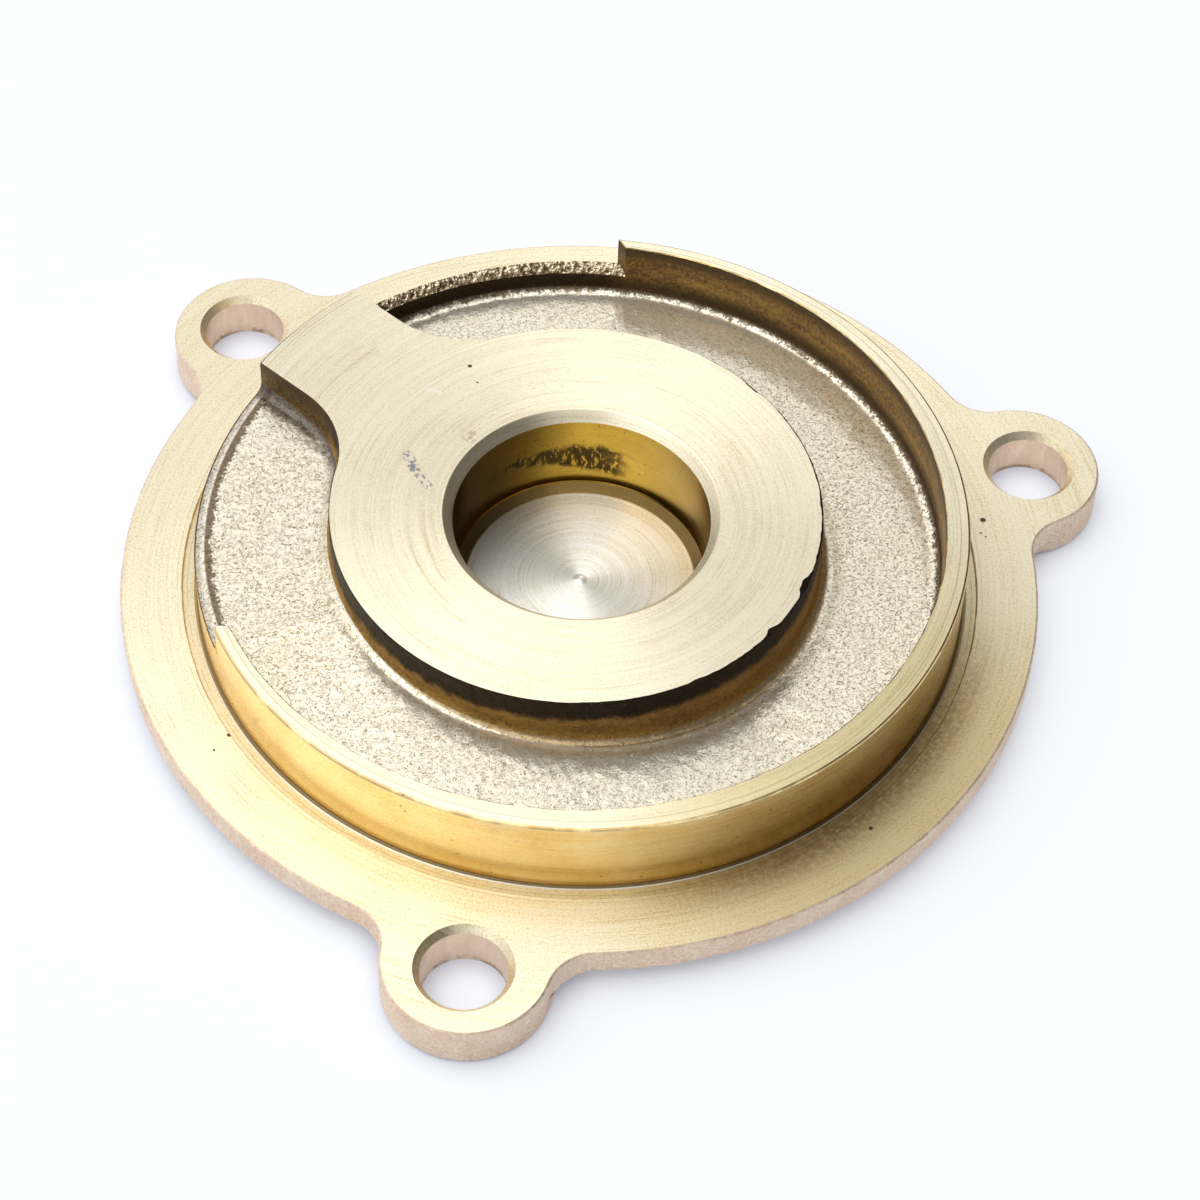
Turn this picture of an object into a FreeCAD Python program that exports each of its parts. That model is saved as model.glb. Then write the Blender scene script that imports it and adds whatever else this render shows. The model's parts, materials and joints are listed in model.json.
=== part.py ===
import FreeCAD, Part
import math
import os
import Sketcher

# Cover of a pump impeller, one brass casting machined on its joint side.
# Origin: spigot axis on the flange face that meets the pump housing. +Z points into the pump,
# and -Y is the front. Angles are in degrees about +Z from +X.
# The spigot holds a side channel between an outer ring and a hub. The channel is open to the
# outside at the inlet and at the outlet, and a land across it keeps the two apart.
# The cored faces share an axis that sits a little off the turned one, as the core shifted.

SIZES = {
    "plate_diameter": 101.0,
    "plate_thickness": 3.4,
    "plate_edge_break": 0.3,
    "spigot_diameter": 84.0,
    "spigot_rise": 9.6,
    "spigot_edge_break": 0.25,
    "relief_width": 1.7,
    "relief_depth": 0.3,
    "lug_count": 3,
    "lug_angle": 18.5,
    "lug_thickness": 5.4,
    "lug_radius": 8.9,
    "lug_setback": 1.0,
    "lug_blend": 5.0,
    "bolt_circle": 106.8,
    "bolt_hole": 9.0,
    "bolt_chamfer": 0.7,
    "core_shift_x": -0.6,
    "core_shift_y": 0.65,
    "hub_diameter": 53.5,
    "ring_wall": 1.9,
    "ring_start": 85.0,
    "ring_end": 205.5,
    "nose_round": 1.6,
    "channel_floor": 2.4,
    "inlet_floor": 5.4,
    "ramp_start": 310.0,
    "outlet_sill": 5.8,
    "outlet_lead": 1.5,
    "sill_bevel": 0.9,
    "foot_round": 1.2,
    "land_angle": 140.0,
    "land_width": 15.2,
    "land_blend": 11.8,
    "bore_diameter": 28.0,
    "bore_depth": 11.5,
    "bore_chamfer": 1.05,
    "bore_corner_width": 1.3,
    "bore_corner_rise": 0.5,
    "back_boss_diameter": 37.0,
    "back_wall": 3.5,
    "back_bevel": 0.8,
}

NODE = "impeller_cover"

# How far a cut runs past the metal, and how deep the ramp is rooted in its walls.
OVERRUN = 2.0
ROOT = 0.5

# Two places closer than this are the same place.
NEAR = 0.01

SPIGOT_RADIUS = "sizes.spigot_diameter / 2"
HUB_RADIUS = "sizes.hub_diameter / 2"
WALL_RADIUS = "sizes.spigot_diameter / 2 - sizes.ring_wall"
BACK_BOSS_THICKNESS = "sizes.bore_depth - sizes.spigot_rise + sizes.back_wall"


def past(expression, distance=OVERRUN):
    return "%s + %g" % (expression, distance)


def short_of(expression, distance=OVERRUN):
    return "%s - %g" % (expression, distance)


def make_sheet(doc):
    sheet = doc.addObject("Spreadsheet::Sheet", "sizes")
    for row, (alias, value) in enumerate(SIZES.items(), start=1):
        sheet.set("A%d" % row, alias)
        sheet.set("B%d" % row, str(value))
        sheet.setAlias("B%d" % row, alias)
    doc.recompute()
    return sheet


def origin_feature(body, role):
    for feature in body.Origin.OriginFeatures:
        if feature.Role == role:
            return feature
    raise ValueError(role)


def new_sketch(body, name, role):
    sketch = body.newObject("Sketcher::SketchObject", name)
    sketch.AttachmentSupport = [(origin_feature(body, role), "")]
    sketch.MapMode = "FlatFace"
    return sketch


def turn_sketch(sketch, axis, angle):
    """Turns a sketch about one axis of its plane's own frame."""
    turn = FreeCAD.Rotation(FreeCAD.Vector(*axis), 1)
    sketch.AttachmentOffset = FreeCAD.Placement(FreeCAD.Vector(), turn)
    sketch.setExpression(".AttachmentOffset.Rotation.Angle", angle)


def stand_on_core(sketch, angle):
    """Stands an upright sketch at an angle about the axis of the cored faces."""
    turn_sketch(sketch, (0, 1, 0), angle)
    sketch.setExpression(".AttachmentOffset.Base.x", "sizes.core_shift_x")
    sketch.setExpression(".AttachmentOffset.Base.z", "-sizes.core_shift_y")


def lay_on_core(sketch, angle, height="0"):
    """Lays a flat sketch at a height, turned about the axis of the cored faces."""
    turn_sketch(sketch, (0, 0, 1), angle)
    sketch.setExpression(".AttachmentOffset.Base.x", "sizes.core_shift_x")
    sketch.setExpression(".AttachmentOffset.Base.y", "sizes.core_shift_y")
    sketch.setExpression(".AttachmentOffset.Base.z", height)


def bind(sketch, name, expression, constraint):
    number = sketch.addConstraint(constraint)
    sketch.renameConstraint(number, name)
    sketch.setExpression("Constraints." + name, expression)


def draw_outline(sketch, corners):
    """Closed outline whose corners are pairs of expressions for x and y."""
    places = [FreeCAD.Vector(sketch.evalExpression(across), sketch.evalExpression(up), 0)
              for across, up in corners]
    for place, following in zip(places, places[1:] + places[:1]):
        sketch.addGeometry(Part.LineSegment(place, following), False)
    for index in range(len(corners)):
        following = (index + 1) % len(corners)
        sketch.addConstraint(Sketcher.Constraint("Coincident", index, 2, following, 1))
    for index, (across, up) in enumerate(corners):
        place = places[index]
        bind(sketch, "across%d" % index, across, Sketcher.Constraint("DistanceX", -1, 1, index, 1, place.x))
        bind(sketch, "up%d" % index, up, Sketcher.Constraint("DistanceY", -1, 1, index, 1, place.y))


def draw_circle(sketch, diameter, across="0"):
    place = FreeCAD.Vector(sketch.evalExpression(across), 0, 0)
    start = sketch.evalExpression(diameter)
    sketch.addGeometry(Part.Circle(place, FreeCAD.Vector(0, 0, 1), start / 2), False)
    sketch.addConstraint(Sketcher.Constraint("DistanceY", -1, 1, 0, 3, 0.0))
    bind(sketch, "across", across, Sketcher.Constraint("DistanceX", -1, 1, 0, 3, place.x))
    bind(sketch, "diameter", diameter, Sketcher.Constraint("Diameter", 0, start))


def pad(body, sketch, name, height, downwards=False):
    feature = body.newObject("PartDesign::Pad", name)
    feature.Profile = sketch
    feature.Reversed = downwards
    feature.setExpression("Length", height)
    return feature


def disc(body, name, diameter, height, downwards=False):
    sketch = new_sketch(body, name + "_outline", "XY_Plane")
    draw_circle(sketch, diameter)
    return pad(body, sketch, name, height, downwards)


def turned_cut(body, sketch, name):
    """Takes an upright outline away all round the upright axis of its sketch."""
    groove = body.newObject("PartDesign::Groove", name)
    groove.Profile = sketch
    groove.ReferenceAxis = (sketch, ["V_Axis"])
    groove.Angle = 360
    return groove


def sector_cut(body, name, corners, start, end):
    """Takes an upright outline away from one angle to another about the cored faces' axis."""
    sketch = new_sketch(body, name + "_profile", "XZ_Plane")
    stand_on_core(sketch, start)
    draw_outline(sketch, corners)
    groove = turned_cut(body, sketch, name)
    groove.setExpression("Angle", "%s - (%s)" % (end, start))


def polar_pattern(body, name, feature):
    pattern = body.newObject("PartDesign::PolarPattern", name)
    pattern.Originals = [feature]
    pattern.Axis = (origin_feature(body, "Z_Axis"), [""])
    pattern.Angle = 360
    pattern.setExpression("Occurrences", "sizes.lug_count")
    body.Tip = pattern


def make_flange(body):
    disc(body, "plate", "sizes.plate_diameter", "sizes.plate_thickness", downwards=True)
    disc(body, "back_boss", "sizes.back_boss_diameter", BACK_BOSS_THICKNESS, downwards=True)
    disc(body, "spigot", "sizes.spigot_diameter", "sizes.spigot_rise")


def make_lugs(doc, body):
    sketch = new_sketch(body, "lug_outline", "XY_Plane")
    turn_sketch(sketch, (0, 0, 1), "sizes.lug_angle")
    draw_circle(sketch, "2 * sizes.lug_radius", "sizes.bolt_circle / 2 - sizes.lug_setback")
    lug = pad(body, sketch, "lug", "sizes.lug_thickness", downwards=True)
    doc.recompute()
    polar_pattern(body, "lugs", lug)


def make_channel(body):
    outside = past(SPIGOT_RADIUS)
    top = past("sizes.spigot_rise")
    deep = [(HUB_RADIUS, "sizes.channel_floor"), (WALL_RADIUS, "sizes.channel_floor"),
            (WALL_RADIUS, top), (HUB_RADIUS, top)]
    sector_cut(body, "deep_channel", deep, "sizes.ring_end - 360", "sizes.land_angle")

    inlet = [(HUB_RADIUS, "sizes.inlet_floor"), (outside, "sizes.inlet_floor"),
             (outside, top), (HUB_RADIUS, top)]
    sector_cut(body, "inlet", inlet, "sizes.land_angle", "sizes.ring_end")

    inside = short_of(WALL_RADIUS)
    below_sill = "sizes.outlet_sill - sizes.sill_bevel"
    outlet = [(inside, below_sill), (WALL_RADIUS, below_sill),
              (WALL_RADIUS + " + sizes.sill_bevel", "sizes.outlet_sill"),
              (outside, "sizes.outlet_sill"), (outside, top), (inside, top)]
    sector_cut(body, "outlet", outlet, "sizes.ring_start", "sizes.land_angle")


def make_outlet_lead(body):
    """Slants the end of the ring, so that the channel runs out to the spigot's edge."""
    sketch = new_sketch(body, "outlet_lead_outline", "XY_Plane")
    lay_on_core(sketch, "sizes.ring_start", "sizes.outlet_sill")
    inside = short_of(WALL_RADIUS)
    draw_outline(sketch, [(inside, short_of("-sizes.outlet_lead")),
                          (past(WALL_RADIUS + " + sizes.outlet_lead"), "%g" % OVERRUN),
                          (inside, "%g" % OVERRUN)])
    pocket = body.newObject("PartDesign::Pocket", "outlet_lead")
    pocket.Profile = sketch
    pocket.Reversed = True
    pocket.setExpression("Length", past("sizes.spigot_rise - sizes.outlet_sill"))


def make_ramp(body):
    """Screw-shaped floor that climbs from the deep channel to the inlet, rooted in both walls."""
    sketch = new_sketch(body, "ramp_profile", "XZ_Plane")
    stand_on_core(sketch, "sizes.ramp_start")
    inner = short_of(HUB_RADIUS, ROOT)
    outer = past(WALL_RADIUS, ROOT)
    under = short_of("2 * sizes.channel_floor - sizes.inlet_floor", ROOT)
    draw_outline(sketch, [(inner, under), (outer, under),
                          (outer, "sizes.channel_floor"), (inner, "sizes.channel_floor")])
    ramp = body.newObject("PartDesign::AdditiveHelix", "ramp")
    ramp.Profile = sketch
    ramp.ReferenceAxis = (sketch, ["V_Axis"])
    ramp.Mode = "height-turns-angle"
    ramp.LeftHanded = True
    ramp.setExpression("Height", "sizes.inlet_floor - sizes.channel_floor")
    ramp.setExpression("Turns", "(sizes.ramp_start - sizes.ring_end) / 360")


def make_land(body):
    sketch = new_sketch(body, "land_outline", "XY_Plane")
    lay_on_core(sketch, "sizes.land_angle")
    outer = past(SPIGOT_RADIUS)
    side = "sizes.land_width / 2"
    draw_outline(sketch, [("0", "-" + side), (outer, "-" + side), (outer, side), ("0", side)])
    pad(body, sketch, "land", "sizes.spigot_rise")


def turn_spigot(body):
    """Turns the spigot true, the land's outer end with it, and a shallow relief round its foot."""
    relief = SPIGOT_RADIUS + " + sizes.relief_width"
    outside = past(relief)
    top = past("sizes.spigot_rise")
    sketch = new_sketch(body, "spigot_turning_profile", "XZ_Plane")
    draw_outline(sketch, [(SPIGOT_RADIUS, "-sizes.relief_depth"), (relief, "-sizes.relief_depth"),
                          (relief, "0"), (outside, "0"), (outside, top), (SPIGOT_RADIUS, top)])
    turned_cut(body, sketch, "spigot_turning")


def make_bore(body):
    radius = "sizes.bore_diameter / 2"
    floor = "sizes.spigot_rise - sizes.bore_depth"
    mouth = radius + " + sizes.bore_chamfer"
    top = past("sizes.spigot_rise")
    sketch = new_sketch(body, "bore_profile", "XZ_Plane")
    draw_outline(sketch, [("0", floor), (radius + " - sizes.bore_corner_width", floor),
                          (radius, floor + " + sizes.bore_corner_rise"),
                          (radius, "sizes.spigot_rise - sizes.bore_chamfer"),
                          (mouth, "sizes.spigot_rise"), (mouth, top), ("0", top)])
    turned_cut(body, sketch, "bore")


def make_bolt_holes(doc, body):
    sketch = new_sketch(body, "bolt_hole_place", "XY_Plane")
    turn_sketch(sketch, (0, 0, 1), "sizes.lug_angle")
    draw_circle(sketch, "sizes.bolt_hole", "sizes.bolt_circle / 2")
    doc.recompute()
    hole = body.newObject("PartDesign::Hole", "bolt_hole")
    hole.Profile = sketch
    hole.DepthType = "ThroughAll"
    hole.HoleCutType = "Countersink"
    hole.HoleCutCountersinkAngle = 90
    hole.setExpression("Diameter", "sizes.bolt_hole")
    hole.setExpression("HoleCutDiameter", "sizes.bolt_hole + 2 * sizes.bolt_chamfer")
    doc.recompute()
    polar_pattern(body, "bolt_holes", hole)
    doc.recompute()


def middle(edge):
    return edge.valueAt((edge.FirstParameter + edge.LastParameter) / 2)


def is_upright(edge):
    low, high = edge.Vertexes[0].Point, edge.Vertexes[-1].Point
    return math.hypot(high.x - low.x, high.y - low.y) < NEAR and abs(high.z - low.z) > NEAR


def lies_at(edge, height):
    return abs(middle(edge).z - height) < NEAR and abs(edge.Vertexes[0].Z - height) < NEAR


def top_of(face):
    return max(vertex.Z for vertex in face.Vertexes)


class EdgeFinder:
    """Tells the cover's edges apart by where they lie, from the sizes in the sheet."""

    def __init__(self, sheet):
        self.sheet = sheet
        self.core = FreeCAD.Vector(self.size("core_shift_x"), self.size("core_shift_y"), 0)
        self.hub = self.size("hub_diameter") / 2
        self.wall = self.size("spigot_diameter") / 2 - self.size("ring_wall")
        self.land_side = self.size("land_width") / 2

    def size(self, alias):
        return float(self.sheet.get(alias))

    def from_core(self, point):
        return math.hypot(point.x - self.core.x, point.y - self.core.y)

    def angle(self, point):
        return math.degrees(math.atan2(point.y - self.core.y, point.x - self.core.x)) % 360

    def off_land_axis(self, point):
        turn = math.radians(self.size("land_angle"))
        across = (point.y - self.core.y) * math.cos(turn) - (point.x - self.core.x) * math.sin(turn)
        return abs(across)

    def at_hub_and_land(self, edge, faces):
        point = middle(edge)
        on_hub = abs(self.from_core(point) - self.hub) < NEAR
        on_land = abs(self.off_land_axis(point) - self.land_side) < NEAR
        return is_upright(edge) and on_hub and on_land

    def at_channel_foot(self, edge, faces):
        """Along the floors, at the hub and at the land's sides."""
        point = middle(edge)
        highest = self.size("inlet_floor") + NEAR
        lowest = self.size("channel_floor") - NEAR
        if is_upright(edge) or not lowest < point.z < highest:
            return False
        floors = [face for face in faces if top_of(face) < highest]
        walls = [face for face in faces if top_of(face) > self.size("spigot_rise") - NEAR]
        by_hub = self.from_core(point) < (self.hub + self.wall) / 2
        by_land = self.off_land_axis(point) < 2 * self.land_side
        return len(floors) == 1 and len(walls) == 1 and (by_hub or by_land)

    def at_ring_nose(self, edge, faces):
        point = middle(edge)
        on_wall = abs(self.from_core(point) - self.wall) < NEAR
        at_end = abs(self.angle(point) - self.size("ring_end")) < NEAR
        return is_upright(edge) and on_wall and at_end and point.z > self.size("inlet_floor")

    def at_lug_root(self, edge, faces):
        point = middle(edge)
        on_rim = abs(math.hypot(point.x, point.y) - self.size("plate_diameter") / 2) < NEAR
        return is_upright(edge) and on_rim and len(faces) == 2

    def at_back_edge(self, edge, faces):
        back_boss = self.size("bore_depth") - self.size("spigot_rise") + self.size("back_wall")
        return lies_at(edge, -self.size("lug_thickness")) or lies_at(edge, -back_boss)

    def at_spigot_top(self, edge, faces):
        point = middle(edge)
        on_spigot = abs(math.hypot(point.x, point.y) - self.size("spigot_diameter") / 2) < NEAR
        return lies_at(edge, self.size("spigot_rise")) and on_spigot

    def at_plate_rim(self, edge, faces):
        point = middle(edge)
        relief = self.size("spigot_diameter") / 2 + self.size("relief_width")
        return lies_at(edge, 0) and math.hypot(point.x, point.y) > relief + NEAR


def dress_edges(doc, body, kind, name, size, test):
    """Rounds or chamfers the edges that pass a test, which is given the edge and its faces."""
    base = body.Tip
    names = []
    for number, edge in enumerate(base.Shape.Edges, start=1):
        if test(edge, base.Shape.ancestorsOfType(edge, Part.Face)):
            names.append("Edge%d" % number)
    feature = body.newObject("PartDesign::" + kind, name)
    feature.Base = (base, names)
    feature.setExpression({"Fillet": "Radius", "Chamfer": "Size"}[kind], size)
    doc.recompute()


def dress_casting(doc, body, find):
    dress_edges(doc, body, "Fillet", "land_blend", "sizes.land_blend", find.at_hub_and_land)
    dress_edges(doc, body, "Fillet", "channel_foot", "sizes.foot_round", find.at_channel_foot)
    dress_edges(doc, body, "Fillet", "lug_blend", "sizes.lug_blend", find.at_lug_root)
    dress_edges(doc, body, "Chamfer", "back_edge", "sizes.back_bevel", find.at_back_edge)
    dress_edges(doc, body, "Chamfer", "spigot_edge", "sizes.spigot_edge_break", find.at_spigot_top)
    dress_edges(doc, body, "Chamfer", "plate_edge", "sizes.plate_edge_break", find.at_plate_rim)


def build():
    doc = FreeCAD.newDocument("impeller_cover_model")
    sheet = make_sheet(doc)
    find = EdgeFinder(sheet)
    body = doc.addObject("PartDesign::Body", NODE)
    body.Label = NODE
    make_flange(body)
    make_lugs(doc, body)
    make_channel(body)
    make_outlet_lead(body)
    doc.recompute()
    dress_edges(doc, body, "Fillet", "ring_nose", "sizes.nose_round", find.at_ring_nose)
    make_ramp(body)
    make_land(body)
    turn_spigot(body)
    make_bore(body)
    doc.recompute()
    dress_casting(doc, body, find)
    make_bolt_holes(doc, body)
    return doc, body


def check(doc, body):
    for item in doc.Objects:
        if "Invalid" in item.State or "Error" in item.State:
            raise RuntimeError("%s did not build: %s" % (item.Label, item.State))
    if body.Shape.isNull() or not body.Shape.isValid():
        raise RuntimeError("%s has no valid shape" % body.Label)
    if len(body.Shape.Solids) != 1:
        raise RuntimeError("%s is not one solid" % body.Label)


doc, cover = build()
check(doc, cover)
os.makedirs("parts", exist_ok=True)
cover.Shape.exportStep("parts/%s.step" % cover.Label)
print(cover.Label, "volume", round(cover.Shape.Volume, 1), "faces", len(cover.Shape.Faces))
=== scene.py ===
"""Brass pump impeller cover, shown on a pale floor.

The visible casting is one skin, laid as rings of points that run from the bore's floor over the hub,
the side channel and the spigot, round the flange and under the back. Each column of points follows one
ray from the axis of the sand core, which sits a little off the turning axis, and then one radius of the
turned faces. Lengths are in millimetres until the skin becomes a mesh, which is in metres.
"""
import json
import math

import bmesh
import bpy
import numpy as np
from mathutils import Matrix, Vector, noise


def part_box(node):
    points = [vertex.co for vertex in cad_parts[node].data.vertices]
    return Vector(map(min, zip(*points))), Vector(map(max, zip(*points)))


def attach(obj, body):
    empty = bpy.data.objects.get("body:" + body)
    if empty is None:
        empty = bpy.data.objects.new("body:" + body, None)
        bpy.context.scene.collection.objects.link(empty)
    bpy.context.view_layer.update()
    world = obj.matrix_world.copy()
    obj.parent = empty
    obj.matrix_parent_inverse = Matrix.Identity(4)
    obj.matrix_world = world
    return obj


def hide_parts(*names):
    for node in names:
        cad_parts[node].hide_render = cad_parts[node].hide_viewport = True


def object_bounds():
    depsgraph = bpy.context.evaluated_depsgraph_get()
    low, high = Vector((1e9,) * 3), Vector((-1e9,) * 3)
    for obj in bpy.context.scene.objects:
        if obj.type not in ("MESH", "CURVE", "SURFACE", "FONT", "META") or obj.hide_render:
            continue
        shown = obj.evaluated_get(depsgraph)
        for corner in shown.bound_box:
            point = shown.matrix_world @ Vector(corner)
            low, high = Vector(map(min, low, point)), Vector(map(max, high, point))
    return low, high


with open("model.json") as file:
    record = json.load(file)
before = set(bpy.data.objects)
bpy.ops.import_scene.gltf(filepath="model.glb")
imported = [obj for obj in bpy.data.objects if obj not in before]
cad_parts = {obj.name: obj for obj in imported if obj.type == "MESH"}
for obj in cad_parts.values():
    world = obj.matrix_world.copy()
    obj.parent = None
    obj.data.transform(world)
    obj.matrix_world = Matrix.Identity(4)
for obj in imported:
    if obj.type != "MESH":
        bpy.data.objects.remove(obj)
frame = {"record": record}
cad_low, cad_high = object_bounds()

METRE = 0.001

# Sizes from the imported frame.

mounts = {mount["name"]: mount for mount in frame["record"]["mounts"]}
cover_low, cover_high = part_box("impeller_cover")

SPIGOT_RADIUS = mounts["spigot"]["dims"]["r_mm"]
BORE_RADIUS = mounts["shaft_bore"]["dims"]["r_mm"]
HOLE_RADIUS = mounts["bolts"]["dims"]["hole_r_mm"]
BOLT_RADIUS = mounts["bolts"]["dims"]["pcd_mm"] / 2
PLATE_RADIUS = cover_high.y / METRE
TOP = cover_high.z / METRE
BASE = cover_low.z / METRE

# Sizes of the casting, with angles in degrees.

CORE = np.array([-0.6, 0.65])  # where the sand core's axis stands, off the turned axis
LUG_ANGLES = (18.5, 138.5, 258.5)
LUG_RADIUS = 8.9
LUG_CENTRE = 52.4
LUG_BLEND = 5.0
BLEND_CENTRE = PLATE_RADIUS + LUG_BLEND
LUG_END = 9.44
BLEND_END = 14.44
HOLE_MOUTH = HOLE_RADIUS + 0.7
HOLE_CHAMFER = 0.75
PLATE_BACK = -3.4
RELIEF_RADIUS = 43.7
RELIEF = -0.3
RELIEF_LIP = ((0.15, -0.12), (0.3, -0.04), (0.42, 0.1), (0.56, -0.02))  # way out from the spigot, and rise
HUB_RADIUS = 26.75
LAND_ANGLE = 140.0
LAND_HALF = 7.6
LAND_BLEND = 11.8
LAND_X = 33.31
LAND_Y = LAND_HALF + LAND_BLEND
LAND_TANGENT = 30.2
LAND_CORNER = (-37.99, 6.56)  # the centre of the blend on the inlet's side
RING_WALL = 40.1
RING_END = 205.5
RING_START = 84.4
LEAD_START = 82.9
LEAD_END = 85.0
LEAD_REACH = 41.9
NOSE = 1.1
NOSE_CORNER = 0.55
NOSE_REACH = RING_WALL + NOSE
DEEP_FLOOR = 2.4
INLET_FLOOR = 5.4
RAMP_START = 310.0
SILL = 5.8
SILL_DROP = 0.9
FOOT = 1.2
BORE_FLOOR = TOP - 11.5
BORE_CHAMFER = 1.05
BORE_CORNER = (1.3, 0.5)  # how far in and how far up the floor's corner is dressed off
BORE_CENTRE = ((0.35, 0.1), (0.8, -0.02), (1.1, 0.0))  # radius and rise of the mark of the tool's centre
BACK_BOSS = 18.5
BACK_BEVEL = 0.8
BEVEL_STEPS = ((0.0, 1.0), (0.1, 0.55), (0.5, 0.13), (1.0, 0.0))  # way in and height, as shares of the bevel
BACK_FILLET = 1.2
EDGE = 0.25
SLIVER = 0.02  # the turn, in degrees, between the two columns at a sudden step
HUB_ROUGH = 0.09
RING_ROUGH = 0.07
FLOOR_ROUGH = 0.04
RIM_ROUGH = 0.14
BACK_ROUGH = 0.08


def wrap(angle):
    """The angle in degrees from -180 to 180."""
    return (np.asarray(angle, float) + 180.0) % 360.0 - 180.0


def heading(angle):
    """Unit vectors at these angles in degrees, one to a row."""
    turn = np.radians(angle)
    return np.stack([np.cos(turn), np.sin(turn)], axis=-1)


def root(value):
    """Square root, with rounding below zero taken as zero."""
    return np.sqrt(np.maximum(value, 0.0))


def spigot_reach(theta):
    """Distance from the core's axis to the spigot's outside, along rays at theta."""
    along = heading(theta) @ CORE
    return root(SPIGOT_RADIUS ** 2 - CORE @ CORE + along ** 2) - along


def core_angle(beta):
    """Angle about the core's axis of the spigot's outside at turned angle beta."""
    reach = heading(beta) * SPIGOT_RADIUS - CORE
    return np.degrees(np.arctan2(reach[..., 1], reach[..., 0]))


def turned_angle(theta):
    """Turned angle of the spigot's outside on the core's ray at theta."""
    point = CORE + heading(theta) * spigot_reach(theta)[..., None]
    return np.degrees(np.arctan2(point[..., 1], point[..., 0]))


def from_lug(beta):
    """Signed angle from the nearest lug's middle."""
    offsets = np.stack([wrap(np.asarray(beta) - lug) for lug in LUG_ANGLES])
    nearest = np.abs(offsets).argmin(axis=0)
    return np.take_along_axis(offsets, nearest[None], axis=0)[0]


def both_ways(values):
    """The values and their mirror images."""
    values = np.asarray(values, float)
    return np.concatenate([-values, values])


def column_angles():
    """Core angles of all columns, close together where the casting's outline turns."""
    exact = [RING_END - SLIVER, RING_END, RING_START - SLIVER, RING_START, LEAD_START]
    plain = np.arange(0.0, 360.0, 0.6)
    off_land = np.abs(wrap(plain - LAND_ANGLE)) > LAND_TANGENT
    off_lugs = np.abs(from_lug(turned_angle(plain))) > BLEND_END
    filling = list(plain[off_land & off_lugs])
    filling += list(LAND_ANGLE + both_ways(np.arange(10.2, 13.2, 0.1)))
    filling += list(LAND_ANGLE + both_ways(np.arange(13.2, LAND_TANGENT + 0.2, 0.4)))
    filling += list(np.arange(RING_END, RING_END + 2.5, 0.15))
    filling += list(np.arange(LEAD_START - 0.6, RING_START, 0.15))
    around = np.radians(np.arange(0.0, 99.0, 6.0))
    outline = np.degrees(np.arctan2(LUG_RADIUS * np.sin(around), LUG_CENTRE + LUG_RADIUS * np.cos(around)))
    mouth = np.degrees(np.arcsin(HOLE_MOUTH * np.sin(np.radians(np.arange(7.5, 90.0, 7.5))) / BOLT_RADIUS))
    edges = np.degrees(np.arcsin([HOLE_MOUTH / BOLT_RADIUS, LUG_RADIUS / LUG_CENTRE]))
    blends = np.arange(LUG_END, BLEND_END + 0.1, 0.36)
    for lug in LUG_ANGLES:
        exact += list(core_angle(lug + both_ways(edges)))
        filling += list(core_angle(lug + both_ways(outline)))
        filling += list(core_angle(lug + both_ways(mouth)))
        filling += list(core_angle(lug + both_ways(blends)))
    exact = np.asarray(exact) % 360.0
    kept = list(exact)
    last = -1.0
    for angle in np.sort(np.asarray(filling) % 360.0):
        if angle - last > 0.05 and np.abs(wrap(exact - angle)).min() > 0.04:
            kept.append(angle)
            last = angle
    return np.sort(kept)


theta = column_angles()
beta = turned_angle(theta)
ray = heading(theta)
spoke = heading(beta)
reach = spigot_reach(theta)
lug_turn = from_lug(beta)
lug_side = np.abs(lug_turn)
lug_name = beta - lug_turn
off_land = wrap(theta - LAND_ANGLE)
land_side = np.abs(off_land)
count = len(theta)

# Heights and outlines of the channel, one value to a column.


def hub_outline():
    """Distance from the core's axis to the foot of the hub, its blends and the land."""
    side = np.radians(land_side)
    along = LAND_X * np.cos(side) + LAND_Y * np.sin(side)
    blend = along - root(along ** 2 - (LAND_X ** 2 + LAND_Y ** 2) + LAND_BLEND ** 2)
    flank = LAND_HALF / np.maximum(np.sin(side), 1e-6)
    on_flank = land_side < math.degrees(math.atan2(LAND_HALF, LAND_X))
    outline = np.where(land_side > LAND_TANGENT, HUB_RADIUS, np.where(on_flank, flank, blend))
    return np.minimum(outline, reach)


def off_hub(points):
    """Distance of points, taken from the core's axis, to the wall of the hub and the land."""
    axis = heading(LAND_ANGLE)
    across_axis = heading(LAND_ANGLE + 90.0)
    x = points @ axis
    y = np.abs(points @ across_axis)
    hub = np.hypot(x, y) - HUB_RADIUS
    blend = LAND_BLEND - np.hypot(x - LAND_X, y - LAND_Y)
    flank = y - LAND_HALF
    turn = np.degrees(np.arctan2(y, x))
    return np.where(turn > LAND_TANGENT, hub, np.where(x > LAND_X, flank, blend))


def off_ring(points, columns):
    """Distance of points, taken from the core's axis, to the ring's inner wall and its rounded end."""
    radius = np.hypot(points[:, 0], points[:, 1])
    x = points @ heading(RING_END)
    y = points @ heading(RING_END + 90.0)
    nose = np.hypot(x - NOSE_REACH, y - NOSE) - NOSE
    wall = RING_WALL - radius
    return np.where(inlet[columns] | ((x > 0) & (np.abs(y) < NOSE)), nose, wall)


def foot_rise(distance):
    """Rise of a foot rounding at this distance from its wall."""
    run = np.clip(distance, 0.0, FOOT)
    return FOOT - root(FOOT ** 2 - (FOOT - run) ** 2)


inlet = (theta > LAND_ANGLE) & (theta < RING_END - SLIVER / 2)
outlet = (theta < LAND_ANGLE) & (theta > RING_START - SLIVER / 2)
ringed = ~inlet & ~outlet
hub_wall = hub_outline()
land = hub_wall > reach - 1e-6

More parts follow.
